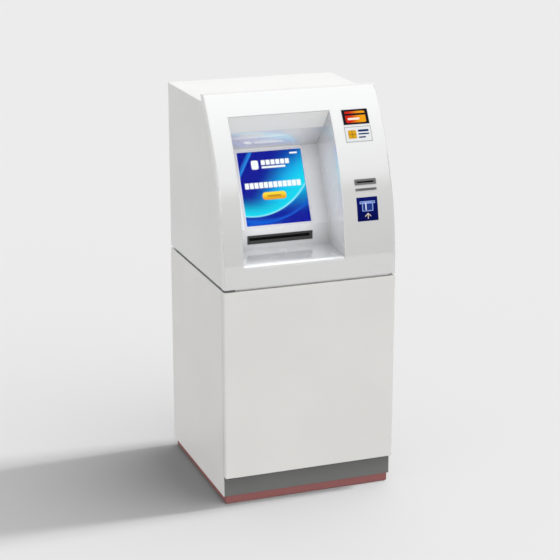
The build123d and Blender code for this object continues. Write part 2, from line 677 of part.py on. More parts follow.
def fascia_shell():
    """Curved front cover with rounded outer edges and the openings of the recess and the slots."""
    z = (UPPER_BOTTOM, HEIGHT)
    shell = behind_curve(0, (-HALF, HALF), z)
    outer_edges = [e for e in shell.edges() if is_front_side_edge(e)]
    shell = fillet(outer_edges, EDGE_RADIUS)
    shell -= behind_curve(FLANGE, (-HALF - 1, HALF + 1), (UPPER_BOTTOM - 60, HEIGHT + 60), DEPTH + 60)
    shell -= behind_curve(SKIN, (SKIN - HALF, HALF - SKIN), grown(z, -SKIN), DEPTH + 60)
    shell -= recess_space()
    shell = fillet([e for e in shell.edges() if is_opening_side(e)], OPENING_EDGE)
    through = (-12, 12)
    shell -= plate_on(on_fascia(CARD_Z), around(COLUMN_X, CARD_SIZE[0] - 3),
                      around(0, CARD_SIZE[1] - 3), through)
    return shell - plate_on(on_fascia(RECEIPT_Z), around(COLUMN_X, RECEIPT_SIZE[0] - 3),
                            around(0, RECEIPT_SIZE[1] - 2), through)


def on_curve(point):
    """True for a point on the fascia's outer surface."""
    return abs(point.Y - FRONT - curve_depth(point.Z)) < 0.5


def is_front_side_edge(edge):
    """True for the fascia's outer edges: both sides of the curve and the top front edge."""
    middle = edge @ 0.5
    on_side = abs(abs(middle.X) - HALF) < 0.1
    on_top = abs(middle.X) < 0.1 and abs(middle.Z - HEIGHT) < 0.1 and middle.Y < 0
    return (on_side and on_curve(middle)) or on_top


def is_opening_side(edge):
    """True for the outer edges of the recess opening, on its left, right and top."""
    middle = edge @ 0.5
    on_side = min(abs(middle.X - x) for x in RECESS_X) < 0.1 and SILL < middle.Z < OPENING_TOP[1]
    on_top = abs(middle.Z - OPENING_TOP[1]) < 0.1 and RECESS_X[0] < middle.X < RECESS_X[1]
    return on_curve(middle) and (on_side or on_top)


def recess_liner():
    """Moulded lining of the recess: tray, side walls, screen panel and ceiling."""
    liner = recess_space(LINER) & behind_skin()
    liner -= recess_space()
    liner -= brow_slab()
    window_x = grown(SCREEN_X, RIM - 2)
    window_v = grown(SCREEN_V, RIM - 2)
    liner -= plate_on(on_panel(), window_x, window_v, (-20, 5))
    return liner - block(grown(CASH_X, -3), (TRAY_BACK[0] - 1, TRAY_BACK[0] + 20), grown(CASH_Z, -1.5))


def recess_brow():
    return brow_slab() & behind_skin()


def screen_bezel():
    """Raised rim around the display, with a sleeve through the liner."""
    rim = plate_on(on_panel(), grown(SCREEN_X, RIM), grown(SCREEN_V, RIM), (0, RIM_RISE))
    rim = fillet(front_face(rim).edges(), 1.0)
    rim += plate_on(on_panel(), grown(SCREEN_X, RIM - 2.2), grown(SCREEN_V, RIM - 2.2), (-LINER, 0.5))
    return rim - plate_on(on_panel(), SCREEN_X, SCREEN_V, (-10, 10))


def touch_glass():
    """Cover glass, held behind the liner."""
    return plate_on(on_panel(), grown(SCREEN_X, 8), grown(SCREEN_V, 7), (-LINER - GLASS, -LINER))


def lcd_module():
    """Display module; its face lies a little behind its edge, which the glass rests on."""
    front = -LINER - GLASS
    body = plate_on(on_panel(), grown(SCREEN_X, 8), grown(SCREEN_V, 7), (front - 13, front))
    body -= plate_on(on_panel(), grown(SCREEN_X, 3), grown(SCREEN_V, 3), (front - AIR_GAP, front + 1))
    board = plate_on(on_panel(), grown(SCREEN_X, -40), grown(SCREEN_V, -50), (front - 19, front - 13))
    return body + board


def cash_slot_bezel():
    """Slot surround; the shutter runs in a pocket behind its face."""
    face_d = TRAY_BACK[0]
    bezel = block(CASH_X, (face_d - 2, face_d), CASH_Z)
    bezel += block(grown(CASH_X, -3), (face_d, face_d + 12), grown(CASH_Z, -1.5))
    bezel -= block(CASH_SLIT_X, (face_d - 5, face_d + 20), CASH_SLIT_Z)
    mouth_z = grown(CASH_SLIT_Z, CASH_MOUTH[1])
    bezel -= block(grown(CASH_SLIT_X, CASH_MOUTH[0]), (face_d - 3, face_d + 2.6), mouth_z)
    pocket_z = (SHUTTER_Z[0] - 0.2, SHUTTER_Z[1] + SHUTTER_TRAVEL + 0.2)
    return bezel - block(grown(SHUTTER_X, 0.5), grown(SHUTTER_D, 0.2), pocket_z)


def cash_shutter():
    """Strip that closes the cash slot and lifts to open it."""
    return block(SHUTTER_X, SHUTTER_D, SHUTTER_Z)


# ================================================================ card reader and receipt printer

def slot_surround(plane, size, rise, corner, tail, tail_size):
    """Rounded plate on the fascia with a tail that fits the opening behind it."""
    plate = plate_on(plane, around(COLUMN_X, size[0]), around(0, size[1]), (0, rise))
    plate = fillet(plate.edges().filter_by(lambda e: abs(e.length - rise) < 0.01), corner)
    return plate + plate_on(plane, around(COLUMN_X, tail_size[0]), around(0, tail_size[1]), (-tail, 0.5))


def card_bezel():
    plane = on_fascia(CARD_Z)
    bezel = slot_surround(plane, CARD_SIZE, 1.6, 2.0, 9, (CARD_SIZE[0] - 3.4, CARD_SIZE[1] - 3.4))
    bezel -= plate_on(plane, around(COLUMN_X, THROAT[0] + 3), around(0, THROAT[1] + 2.4), (0.4, 5))
    return bezel - plate_on(plane, around(COLUMN_X, THROAT[0]), around(0, THROAT[1]), (-20, 5))


def card_reader():
    """Motorised reader: housing with a card throat and a pocket for its gate."""
    plane = on_fascia(CARD_Z)
    body = plate_on(plane, around(COLUMN_X, 84), (-14, 40), (READER_BACK, -9.2))
    body = chamfer(body.edges().filter_by(Axis.X), 2.0)
    body -= plate_on(plane, around(COLUMN_X, THROAT[0]), around(0, THROAT[1]), (READER_BACK + 30, 0))
    pocket_y = (-THROAT[1] / 2 - 1.7, THROAT[1] / 2 + 1.7 + GATE_TRAVEL)
    body -= plate_on(plane, around(COLUMN_X, THROAT[0] + 5), pocket_y, grown(GATE_DEPTH, 0.3))
    return body


def card_gate():
    """Plate that closes the reader's throat and lifts for a card."""
    gate_y = (-THROAT[1] / 2 - 1.5, THROAT[1] / 2 + 1.5)
    return plate_on(on_fascia(CARD_Z), around(COLUMN_X, THROAT[0] + 4), gate_y, GATE_DEPTH)


def receipt_bezel():
    plane = on_fascia(RECEIPT_Z)
    bezel = slot_surround(plane, RECEIPT_SIZE, 1.4, 1.5, 7, (RECEIPT_SIZE[0] - 3.4, RECEIPT_SIZE[1] - 2.4))
    return bezel - plate_on(plane, around(COLUMN_X, RECEIPT_SLIT[0]), around(0, RECEIPT_SLIT[1]), (-20, 5))


def receipt_printer():
    """Printer chassis: side plates, floor, head block, roll spindle and paper guide."""
    wall = PRINTER_WALL
    chassis = block(PRINTER_X, PRINTER_D, (PRINTER_Z[0], PRINTER_Z[0] + wall))
    for x in ((PRINTER_X[0], PRINTER_X[0] + wall), (PRINTER_X[1] - wall, PRINTER_X[1])):
        chassis += block(x, PRINTER_D, PRINTER_Z)
    chassis += block(PRINTER_X, (PRINTER_D[0], PRINTER_D[0] + 12), (PRINTER_Z[1] - 34, PRINTER_Z[1]))
    for guide_d in (PRINTER_D[0], PRINTER_D[0] + 6):
        chassis += block(around(COLUMN_X, 62), (guide_d, guide_d + 2), (PRINTER_Z[1] - 1, RECEIPT_Z - 8))
    chassis += rod_x(SPINDLE_RADIUS, PRINTER_X, *ROLL_PLACE)
    return chassis - rod_x(SHAFT_RADIUS + RUNNING, grown(PRINTER_X, 1), *PLATEN_PLACE)


def paper_roll():
    x = around(COLUMN_X, PAPER_WIDTH)
    bore = rod_x(SPINDLE_RADIUS + RUNNING, grown(x, 1), *ROLL_PLACE)
    return rod_x(ROLL_RADIUS, x, *ROLL_PLACE) - bore


def platen_roller():
    roller = rod_x(SHAFT_RADIUS, grown(PRINTER_X, 1), *PLATEN_PLACE)
    return roller + rod_x(PLATEN_RADIUS, around(COLUMN_X, PAPER_WIDTH + 3), *PLATEN_PLACE)


# ================================================================ labels
def curved_label(x, z):
    """Thin sticker that follows the fascia's curve."""
    band = behind_curve(-LABEL, x, (UPPER_BOTTOM, HEIGHT))
    band -= behind_curve(0, grown(x, 1), (UPPER_BOTTOM - 1, HEIGHT + 20))
    return band & block(x, (-5, 300), z)


# ================================================================ slide-out carriage
def slide_rails_fixed():
    """Two channels fixed inside the hood, open towards the middle."""
    rail = block((295, 307), (120, 460), RAIL_Z)
    rail -= block((294, 303), (119, 461), grown(RAIL_Z, -5))
    return Compound(both_sides(rail))


def slide_rails_moving():
    """Two bars on the carriage that run in the fixed channels."""
    rail = block((ARM_X[1], 302), (90, 560), grown(RAIL_Z, -5.5))
    return Compound(both_sides(rail))


def carriage_frame():
    """Side arms and shelf that tie the fascia to its rails."""
    rear = 340
    arm_top = 1000
    arms = both_sides(behind_curve(SKIN + 0.2, ARM_X, (SHELF_Z[0], arm_top), rear))
    shelf = block((-ARM_X[1], ARM_X[1]), (40, rear), SHELF_Z)
    shelf -= block(grown(DUCT_X, 14), (196, rear + 1), grown(SHELF_Z, 5))
    catch = block((PLUG_X[0] - 2, ARM_X[0] + 1), (LOCK_D + 8, LOCK_D + 16), (arm_top - 16, arm_top))
    return arms[0] + arms[1] + shelf + catch


def fascia_lock_barrel():
    """Body of the cylinder lock set in the right side of the hood."""
    barrel = rod_x(LOCK_RADIUS, (292, HALF - 1), LOCK_D, LOCK_Z)
    return barrel - rod_x(PLUG_RADIUS + RUNNING, grown(PLUG_X, 2), LOCK_D, LOCK_Z)


def fascia_lock_cam():
    """Keyed plug and its tongue; a quarter turn drops the tongue ahead of the carriage's catch."""
    cam = rod_x(PLUG_RADIUS, PLUG_X, LOCK_D, LOCK_Z)
    cam += block((PLUG_X[0], PLUG_X[0] + 3), (LOCK_D - TONGUE, LOCK_D + 7), around(LOCK_Z, 14))
    return cam - block((HALF - 5, HALF), around(LOCK_D, 1.6), around(LOCK_Z, 7))


# ================================================================ write every piece
def pieces():
    return {
        "base_plinth": base_plinth(),
        "kick_strip": kick_strip(),
        "side_panel_left": side_panel(-1),
        "side_panel_right": side_panel(1),
        "rear_panel_lower": rear_panel_lower(),
        "rear_panel_upper": rear_panel_upper(),
        "rear_screws": rear_screws(),
        "cable_grommet": cable_grommet(),
        "cabinet_top_plate": cabinet_top_plate(),
        "neck_collar": neck_collar(),
        "upper_tray": upper_tray(),
        "hood_shell": hood_shell(),
        "door_pivot_brackets": door_pivot_brackets(),
        "safe_body": safe_body(),
        "safe_door_slab": safe_door_slab(),
        "bolt_guides": bolt_guides(),
        "lock_bolts": lock_bolts(),
        "bolt_bar": bolt_bar(),
        "lock_actuator": lock_actuator(),
        "door_skin": door_skin(),
        "door_hinge_blocks": door_hinge_blocks(),
        "door_pivot_pins": door_pivot_pins(),
        "door_channels": door_channels(),
        "dispenser_frame": dispenser_frame(),
        "cassette_lower": note_box(cassette_range(0)),
        "cassette_middle": note_box(cassette_range(1)),
        "cassette_upper": note_box(cassette_range(2)),
        "reject_bin": note_box((REJECT_FLOOR, REJECT_FLOOR + REJECT_H)),
        "pick_roller_lower": pick_roller(0),
        "pick_roller_middle": pick_roller(1),
        "pick_roller_upper": pick_roller(2),
        "note_duct": note_duct(),
        "exit_roller_lower": exit_roller(0),
        "exit_roller_upper": exit_roller(1),
        "controller_case": controller_case(),
        "fascia_lock_barrel": fascia_lock_barrel(),
        "fascia_lock_cam": fascia_lock_cam(),
        "fan_housing": fan_housing(),
        "fan_rotor": fan_rotor(),
        "fascia_shell": fascia_shell(),
        "recess_liner": recess_liner(),
        "recess_brow": recess_brow(),
        "screen_bezel": screen_bezel(),
        "touch_glass": touch_glass(),
        "lcd_module": lcd_module(),
        "cash_slot_bezel": cash_slot_bezel(),
        "cash_shutter": cash_shutter(),
        "card_bezel": card_bezel(),
        "card_reader": card_reader(),
        "card_gate": card_gate(),
        "receipt_bezel": receipt_bezel(),
        "receipt_printer": receipt_printer(),
        "paper_roll": paper_roll(),
        "platen_roller": platen_roller(),
        "card_guide_label": curved_label(*GUIDE_PLACE),
        "scheme_label_upper": curved_label(*UPPER_SCHEME_PLACE),
        "scheme_label_lower": curved_label(*LOWER_SCHEME_PLACE),
        "carriage_frame": carriage_frame(),
        "slide_rails_fixed": slide_rails_fixed(),
        "slide_rails_moving": slide_rails_moving(),
    }


os.makedirs("parts", exist_ok=True)
for name, shape in pieces().items():
    export_step(shape, os.path.join("parts", name + ".step"))
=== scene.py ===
import json
import math

import bpy
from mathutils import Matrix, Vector


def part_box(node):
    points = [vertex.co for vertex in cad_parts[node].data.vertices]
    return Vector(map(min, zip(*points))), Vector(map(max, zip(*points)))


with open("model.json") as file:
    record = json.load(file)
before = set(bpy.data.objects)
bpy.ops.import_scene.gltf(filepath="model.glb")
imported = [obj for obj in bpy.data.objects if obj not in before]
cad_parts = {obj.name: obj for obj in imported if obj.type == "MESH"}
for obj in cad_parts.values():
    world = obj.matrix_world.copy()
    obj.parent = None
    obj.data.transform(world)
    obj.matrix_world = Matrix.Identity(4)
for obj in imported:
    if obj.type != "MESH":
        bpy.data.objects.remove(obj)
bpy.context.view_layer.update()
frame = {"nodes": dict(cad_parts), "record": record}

# Looks, light and camera for a lobby cash machine. Metres; +Z up; the customer stands on the -Y side.

# ================================================================ places on the part
RIM_LOW, RIM_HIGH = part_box("screen_bezel")
SHUTTER_LOW, SHUTTER_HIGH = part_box("cash_shutter")
CARD_LOW, CARD_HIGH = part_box("card_bezel")
PAPER_LOW, PAPER_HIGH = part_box("paper_roll")
PANEL_TILT = math.radians(25.0)             # the screen panel leans back from upright
PANEL_FOOT = Vector((0.0, -0.154, 0.940))
PANEL_UP = Vector((0.0, math.sin(PANEL_TILT), math.cos(PANEL_TILT)))
PANEL_FACING = (0.0, -math.cos(PANEL_TILT), math.sin(PANEL_TILT))
SCREEN_RAISE = 0.009                        # from the panel's foot up to the lit area
SCREEN_FOOT = PANEL_FOOT + PANEL_UP * SCREEN_RAISE
SCREEN_HEIGHT = 0.257
SCREEN_RIM = 0.006                          # width of the rim around the lit area
CASH_MOUTH = Vector((-0.0005, 0.0, 0.0014))     # painted shade of the slot: its mouth painted black, measured out from the cash shutter
CARD_MOUTH = Vector((0.0085, 0.0, 0.0079))      # painted shade of the slot: its mouth painted black, measured in from the card surround
PAPER_RINGS = 9000.0                        # radians of ring pattern per metre of radius

# ================================================================ light levels
SKY_LEFT, SKY_RIGHT = 0.30, 1.0             # surround as matt surfaces see it, by side
SKY_AHEAD, SKY_BEHIND = 1.2, 0.8            # and its change from front to back
SIDE_BLEND = 0.5
REFLECT_LOW, REFLECT_HIGH, REFLECT_TOP = 0.26, 1.45, 1.95   # surround as mirrors see it, going up
REFLECT_CLIMB = (0.26, 0.44)                # heights where the mirrored surround brightens
REFLECT_OVERHEAD = (0.5, 0.95)
REFLECT_BEHIND = 0.95
REFLECT_TURN = (-0.15, 0.35)                # from ahead to behind, along Y
BACKDROP = 0.84                             # surround as the camera sees it
DIFFUSE_HOLD = 0.85                         # share of light that painted panels keep from bouncing on

FLOOR_HALF = 60.0
FLOOR_LEVEL = 0.83
FLOOR_BOUNCE = 0.60                         # even light that the floor sends up to matt surfaces
FLOOR_DIM = 0.69                            # how far the distant floor darkens in mirrors
FLOOR_DIM_FROM = (4.9, 5.2)
FLOOR_DIM_AHEAD = (-0.5, -1.5)
CONTACT_SHADE = 0.68                        # extra shade on the floor left of the plinth
CONTACT_REACH = 0.7
CONTACT_X = (-0.25, -0.40)
CONTACT_Y = (0.42, 0.24)

# ================================================================ camera
CAMERA_AZIMUTH = math.radians(-20.19)
CAMERA_ELEVATION = math.radians(16.705)
CAMERA_DISTANCE = 5.963
CAMERA_TARGET = Vector((0.0, 0.0, 0.70))
CAMERA_LENS = 108.0
CAMERA_SENSOR = 36.0
CAMERA_REACH = 200.0


# ================================================================ node helpers
def srgb(red, green, blue):
    """Linear colour from 0-255 display values."""
    def linear(value):
        value /= 255.0
        return value / 12.92 if value <= 0.04045 else ((value + 0.055) / 1.055) ** 2.4
    return (linear(red), linear(green), linear(blue), 1.0)


def even(value):
    """Neutral colour of a linear level."""
    return (value, value, value, 1.0)


BLACK = even(0.0)
WHITE = even(1.0)


class Nodes:
    """Short calls that add nodes to a node tree."""

    def __init__(self, tree):
        self.tree = tree

    def put(self, socket, value):
        if isinstance(value, bpy.types.NodeSocket):
            self.tree.links.new(value, socket)
        else:
            socket.default_value = value

    def node(self, kind, inputs=(), **settings):
        made = self.tree.nodes.new("ShaderNode" + kind)
        for key, value in settings.items():
            setattr(made, key, value)
        for key, value in dict(inputs).items():
            self.put(made.inputs[key], value)
        return made

    def coords(self):
        return self.node("TexCoord").outputs["Object"]

    def axes(self, vector=None):
        """x, y and z of a vector, or of the object coordinates."""
        return self.node("SeparateXYZ", {0: vector or self.coords()}).outputs

    def math(self, operation, a, b=0.0, c=0.0, clamp=False):
        made = self.node("Math", {0: a, 1: b, 2: c}, operation=operation, use_clamp=clamp)
        return made.outputs[0]

    def times(self, a, b):
        return self.math("MULTIPLY", a, b)

    def length(self, vector):
        return self.node("VectorMath", {0: vector}, operation="LENGTH").outputs["Value"]

    def dot(self, a, b):
        return self.node("VectorMath", {0: a, 1: b}, operation="DOT_PRODUCT").outputs["Value"]

    def scaled(self, scale):
        """Object coordinates stretched by (x, y, z) factors."""
        return self.node("Mapping", {"Vector": self.coords(), "Scale": scale}).outputs[0]

    def noise(self, scale, detail=3.0, roughness=0.5, vector=None, distortion=0.0):
        inputs = {"Vector": vector or self.coords(), "Scale": scale, "Detail": detail,
                  "Roughness": roughness, "Distortion": distortion}
        return self.node("TexNoise", inputs).outputs["Fac"]

    def cells(self, scale):
        return self.node("TexVoronoi", {"Vector": self.coords(), "Scale": scale}).outputs

    def span(self, value, low, high, to_low=0.0, to_high=1.0, smooth=True):
        """Remaps value from low..high to to_low..to_high and clamps it."""
        kind = "SMOOTHSTEP" if smooth else "LINEAR"
        inputs = {"Value": value, "From Min": low, "From Max": high, "To Min": to_low, "To Max": to_high}
        return self.node("MapRange", inputs, interpolation_type=kind).outputs[0]

    def mix(self, factor, a, b, blend="MIX"):
        made = self.node("Mix", data_type="RGBA", blend_type=blend)
        self.put(made.inputs[0], factor)
        self.put(made.inputs[6], a)
        self.put(made.inputs[7], b)
        return made.outputs[2]

    def bump(self, height, distance, strength=1.0, normal=None):
        inputs = {"Height": height, "Distance": distance, "Strength": strength}
        if normal is not None:
            inputs["Normal"] = normal
        return self.node("Bump", inputs).outputs[0]

    def rounded(self, radius):
        """Shading normal that rounds sharp edges by a small radius."""
        return self.node("Bevel", {"Radius": radius}, samples=6).outputs[0]

    def edges(self, radius):
        """1 on a worn edge and 0 on a flat face."""
        soft = self.rounded(radius)
        flat = self.node("NewGeometry").outputs["Normal"]
        return self.span(self.dot(soft, flat), 0.985, 0.86)

    def enclosed(self, reach):
        """0 in the open, rising towards 1 in inside corners."""
        open_air = self.node("AmbientOcclusion", {"Distance": reach}, samples=8).outputs["AO"]
        return self.math("SUBTRACT", 1.0, open_air)

    def layer(self, *masks):
        """The largest of several masks."""
        total = masks[0]
        for mask in masks[1:]:
            total = self.math("MAXIMUM", total, mask)
        return total

    def patch(self, u, v, centre, half, radius=0.0, soft=0.006):
        """Mask of a rounded rectangle in u, v."""
        from_u = self.math("ABSOLUTE", self.math("SUBTRACT", u, centre[0]))
        from_v = self.math("ABSOLUTE", self.math("SUBTRACT", v, centre[1]))
        beyond_u = self.math("SUBTRACT", from_u, half[0] - radius)
        beyond_v = self.math("SUBTRACT", from_v, half[1] - radius)
        corner = self.node("CombineXYZ", {0: self.math("MAXIMUM", beyond_u, 0.0),
                                          1: self.math("MAXIMUM", beyond_v, 0.0)}).outputs[0]
        outside = self.length(corner)
        inside = self.math("MINIMUM", self.math("MAXIMUM", beyond_u, beyond_v), 0.0)
        distance = self.math("SUBTRACT", self.math("ADD", outside, inside), radius)
        return self.span(distance, soft, -soft)

    def arc(self, u, v, centre, radius, low, high):
        """Ramp across a circle: 0 where the distance from it is low, 1 where it is high."""
        offset = self.node("CombineXYZ", {0: self.math("SUBTRACT", u, centre[0]),
                                          1: self.math("SUBTRACT", v, centre[1])}).outputs[0]
        return self.span(self.math("SUBTRACT", self.length(offset), radius), low, high)


class Look(Nodes):
    """The node tree of one new material."""

    def __init__(self, name):
        self.material = bpy.data.materials.new(name)
        self.material.use_nodes = True
        super().__init__(self.material.node_tree)

    def base(self, **inputs):
        """Sets Principled inputs; an underscore stands for a space."""
        shader = self.tree.nodes["Principled BSDF"]
        for key, value in inputs.items():
            self.put(shader.inputs[key.replace("_", " ")], value)

    def surface(self, shader):
        """Shows a shader in place of the Principled one."""
        self.put(self.tree.nodes["Material Output"].inputs["Surface"], shader)


# ================================================================ materials of the panels
def powder_coat(name, colour, roughness=0.42, texture=1.0, wear=0.35, chip=(0.9, 0.9, 0.88, 1)):
    """Oven-cured paint on sheet steel: fine orange peel, faint mottling, rubbed edges."""
    n = Look(name)
    cloud = n.noise(3.2, 4.0)
    tone = n.mix(n.span(cloud, 0.3, 0.7, 0.0, 0.03), colour, BLACK)
    speck = n.span(n.noise(900.0, 2.0), 0.35, 0.75)
    tone = n.mix(n.times(speck, 0.035), tone, BLACK)
    rub = n.times(n.edges(0.0012), n.span(n.noise(38.0, 5.0), 0.42, 0.72))
    tone = n.mix(n.times(rub, wear), tone, chip)
    # painted shade on the surroundings: bounced light rays see the paint darker, so it lights the floor and
    # nearby parts less
    bounced = n.times(n.node("LightPath").outputs["Is Diffuse Ray"], DIFFUSE_HOLD)
    tone = n.mix(bounced, tone, BLACK)
    smudge = n.span(n.noise(11.0, 5.0, 0.62), 0.3, 0.75, roughness - 0.06, roughness + 0.08)
    rough = n.math("ADD", smudge, n.times(speck, 0.04))
    peel = n.math("ADD", n.noise(640.0, 2.0), n.times(n.noise(150.0, 2.0), 0.5))
    normal = n.bump(peel, 0.00006 * texture, 0.6, n.rounded(0.0009))
    n.base(Base_Color=tone, Roughness=rough, Normal=normal, IOR=1.46)
    return n.material


def lacquer(name, colour, roughness, coat_ior, coat_roughness, corners=0.0):
    """Glossy silver-white lacquer: fine flake under a hard, clear coat; painted shade darkens it in inside
    corners where asked.
    """
    n = Look(name)
    flake = n.noise(2600.0, 1.0)
    tone = n.mix(n.span(flake, 0.3, 0.8, 0.0, 0.03), colour, (0.3, 0.31, 0.33, 1))
    tone = n.mix(n.span(n.noise(2.4, 3.0), 0.3, 0.7, 0.0, 0.025), tone, even(0.2))
    # painted shade: the colour darkens towards black in inside corners, by how enclosed the point is
    if corners:
        tone = n.mix(n.times(n.enclosed(0.10), corners), tone, BLACK)
    haze = n.noise(7.0, 2.0)
    rough = n.span(haze, 0.25, 0.8, roughness - 0.04, roughness + 0.06)
    coat_rough = n.span(n.noise(6.0, 2.0), 0.35, 0.7, coat_roughness, coat_roughness + 0.03)
    ripple = n.math("ADD", n.noise(60.0, 1.0), n.times(n.noise(300.0, 1.0), 0.2))
    normal = n.bump(ripple, 0.00002, 0.3, n.rounded(0.0008))
    n.base(Base_Color=tone, Roughness=rough, Normal=normal, Coat_Weight=1.0, Coat_IOR=coat_ior,
           Coat_Roughness=coat_rough, Coat_Normal=normal)
    return n.material


def moulded_look(name, colour, roughness, grain, depth, wear):
    """Moulded plastic with a spark-eroded grain and slightly polished edges; the look and its colour."""
    n = Look(name)
    grains = n.cells(grain)["Distance"]
    tone = n.mix(n.span(n.noise(5.0, 4.0), 0.3, 0.7, 0.0, 0.10), colour, BLACK)
    lighter = n.mix(0.35, colour, even(0.5))
    tone = n.mix(n.times(n.edges(0.0010), wear), tone, lighter)
    rough = n.span(n.noise(14.0, 5.0), 0.3, 0.75, roughness - 0.07, roughness + 0.08)
    normal = n.bump(grains, depth, 0.5, n.rounded(0.0006))
    n.base(Base_Color=tone, Roughness=rough, Normal=normal)
    return n, tone


def moulded(name, colour, roughness, grain=420.0, depth=0.00008, wear=0.25):
    return moulded_look(name, colour, roughness, grain, depth, wear)[0].material


def slot_surround(name, colour, low, high):
    """Moulding whose sunken mouth, between two corners, is painted matt black as the shade inside the slot.
    """
    n, tone = moulded_look(name, colour, roughness=0.5, grain=500.0, depth=0.00006, wear=0.15)
    x, _, z = n.axes()
    middle, half = (low + high) / 2, (high - low) / 2
    # painted shade: the mouth is coloured near-black and loses its shine so the slit reads as a dark opening
    mouth = n.patch(x, z, (middle.x, middle.z), (half.x, half.z), soft=0.0003)
    n.base(Base_Color=n.mix(mouth, tone, even(0.002)), Specular_IOR_Level=n.span(mouth, 0.0, 1.0, 0.35, 0.05))
    return n.material


def sheet_metal(name, colour, roughness, brushed=(1.0, 60.0, 60.0), spangle=0.0):
    """Bare or zinc-coated steel with rolling marks, and a zinc spangle where asked."""
    n = Look(name)
    marks = n.noise(24.0, 6.0, 0.7, n.scaled(brushed))
    tone = n.mix(n.span(marks, 0.3, 0.7, 0.0, 0.22), colour, even(0.12))
    if spangle:
        shade = n.node("RGBToBW", {0: n.cells(70.0)["Color"]}).outputs[0]
        tone = n.mix(n.times(shade, spangle), tone, (0.75, 0.78, 0.80, 1))
    tone = n.mix(n.times(n.edges(0.0008), 0.5), tone, even(0.8))
    rough = n.span(marks, 0.25, 0.8, roughness - 0.08, roughness + 0.12)
    normal = n.bump(marks, 0.00005, 0.4, n.rounded(0.0005))
    n.base(Base_Color=tone, Metallic=0.92, Roughness=rough, Normal=normal)
    return n.material


def rubber(name, colour):
    """Dusty matt rubber."""
    n = Look(name)
    dust = n.span(n.noise(60.0, 6.0, 0.7), 0.45, 0.8, 0.0, 0.35)
    tone = n.mix(dust, colour, (0.16, 0.15, 0.14, 1))
    normal = n.bump(n.noise(800.0, 3.0), 0.00012, 0.5, n.rounded(0.0006))
    n.base(Base_Color=tone, Roughness=n.span(dust, 0.0, 0.35, 0.62, 0.86), Normal=normal)
    return n.material


def wound_paper(name):
    """Paper roll: fine rings on the end faces."""
    n = Look(name)
    centre = tuple((PAPER_LOW + PAPER_HIGH) / 2)
    shift = n.node("VectorMath", {0: n.coords(), 1: centre}, operation="SUBTRACT").outputs[0]
    flat = n.node("VectorMath", {0: shift, 1: (0.0, 1.0, 1.0)}, operation="MULTIPLY").outputs[0]
    wave = n.math("SINE", n.times(n.length(flat), PAPER_RINGS))
    tone = n.mix(n.span(wave, -1.0, 1.0, 0.0, 0.18), (0.86, 0.86, 0.83, 1), (0.55, 0.54, 0.50, 1))
    n.base(Base_Color=tone, Roughness=0.72, Normal=n.bump(wave, 0.00008, 0.4))
    return n.material


# ================================================================ screen
def screen_space(n):
    """u and v over the lit area, along the leaning panel."""
    x, y, z = n.axes()
    u = n.span(x, RIM_LOW.x + SCREEN_RIM, RIM_HIGH.x - SCREEN_RIM, smooth=False)
    climb = n.times(n.math("SUBTRACT", z, SCREEN_FOOT.z), math.cos(PANEL_TILT))
    climb = n.math("ADD", climb, n.times(n.math("SUBTRACT", y, SCREEN_FOOT.y), math.sin(PANEL_TILT)))
    return u, n.math("DIVIDE", climb, SCREEN_HEIGHT)


def blue_curves(n, u, v):
    """Soft blue picture: a glow that climbs to the right, a streak and a crescent."""
    navy, azure, cyan = srgb(0, 14, 152), srgb(0, 150, 246), srgb(10, 218, 245)
    rise = n.math("SUBTRACT", u, n.times(v, 0.75))
    glow = n.times(n.span(rise, -0.22, 0.42), n.span(v, 1.25, 0.55))
    glow = n.times(glow, n.span(v, 0.10, 0.42))
    colour = n.mix(glow, navy, azure)
    colour = n.mix(n.times(n.times(glow, glow), 0.75), colour, cyan)
    # streak in the upper left corner
    streak = n.math("SUBTRACT", v, n.math("MULTIPLY_ADD", u, 1.45, 0.66))
    lit = n.times(n.span(streak, -0.03, 0.0), n.span(streak, 0.12, 0.0))
    colour = n.mix(n.times(lit, 0.7), colour, srgb(40, 160, 255))
    # crescent across the lower half, with a bright rim and shade below it
    centre, radius = (0.18, 1.175), 1.05
    inner = n.arc(u, v, centre, radius, -0.34, -0.015)
    outer = n.arc(u, v, centre, radius, 0.012, -0.004)
    colour = n.mix(n.times(n.times(inner, inner), outer), colour, cyan)
    rim = n.times(n.arc(u, v, centre, radius, -0.022, -0.004), outer)
    colour = n.mix(n.times(rim, 0.6), colour, srgb(190, 245, 255))
    shade = n.times(n.arc(u, v, centre, radius, 0.0, 0.03), n.span(v, 0.62, 0.30))
    colour = n.mix(n.times(shade, 0.6), colour, srgb(2, 20, 160))
    # fainter second curve and a lighter lower left corner
    centre, radius = (0.3, 1.25), 1.21
    second = n.times(n.arc(u, v, centre, radius, -0.05, 0.0), n.arc(u, v, centre, radius, 0.012, 0.0))
    colour = n.mix(n.times(second, 0.7), colour, srgb(0, 100, 230))
    corner = n.times(n.span(v, 0.16, 0.0), n.span(u, 0.75, 0.15))
    return n.mix(n.times(corner, 0.6), colour, srgb(0, 110, 240))


def block_row(n, u, v, start, pitch, count, level, half):
    """Masks of a row of small plain blocks."""
    return [n.patch(u, v, (start + pitch * i, level), half, 0.010) for i in range(count)]


def plain_marks(n, u, v, colour):
    """Plain shapes in place of a heading, a message and a button."""
    head = n.layer(n.patch(u, v, (0.265, 0.825), (0.055, 0.062), 0.03),
                   *block_row(n, u, v, 0.395, 0.075, 6, 0.850, (0.031, 0.034)),
                   n.patch(u, v, (0.55, 0.785), (0.185, 0.014), 0.012),
                   n.patch(u, v, (0.885, 0.955), (0.060, 0.011), 0.010))
    words = n.layer(*block_row(n, u, v, 0.100, 0.073, 12, 0.545, (0.031, 0.040)))
    colour = n.mix(n.layer(head, words), colour, WHITE)
    button = n.patch(u, v, (0.50, 0.395), (0.185, 0.052), 0.05)
    face = n.mix(n.span(v, 0.345, 0.44), srgb(240, 160, 10), srgb(255, 225, 60))
    colour = n.mix(button, colour, face)
    legend = n.patch(u, v, (0.50, 0.393), (0.105, 0.014), 0.014)
    return n.mix(n.times(legend, 0.55), colour, srgb(150, 80, 10))


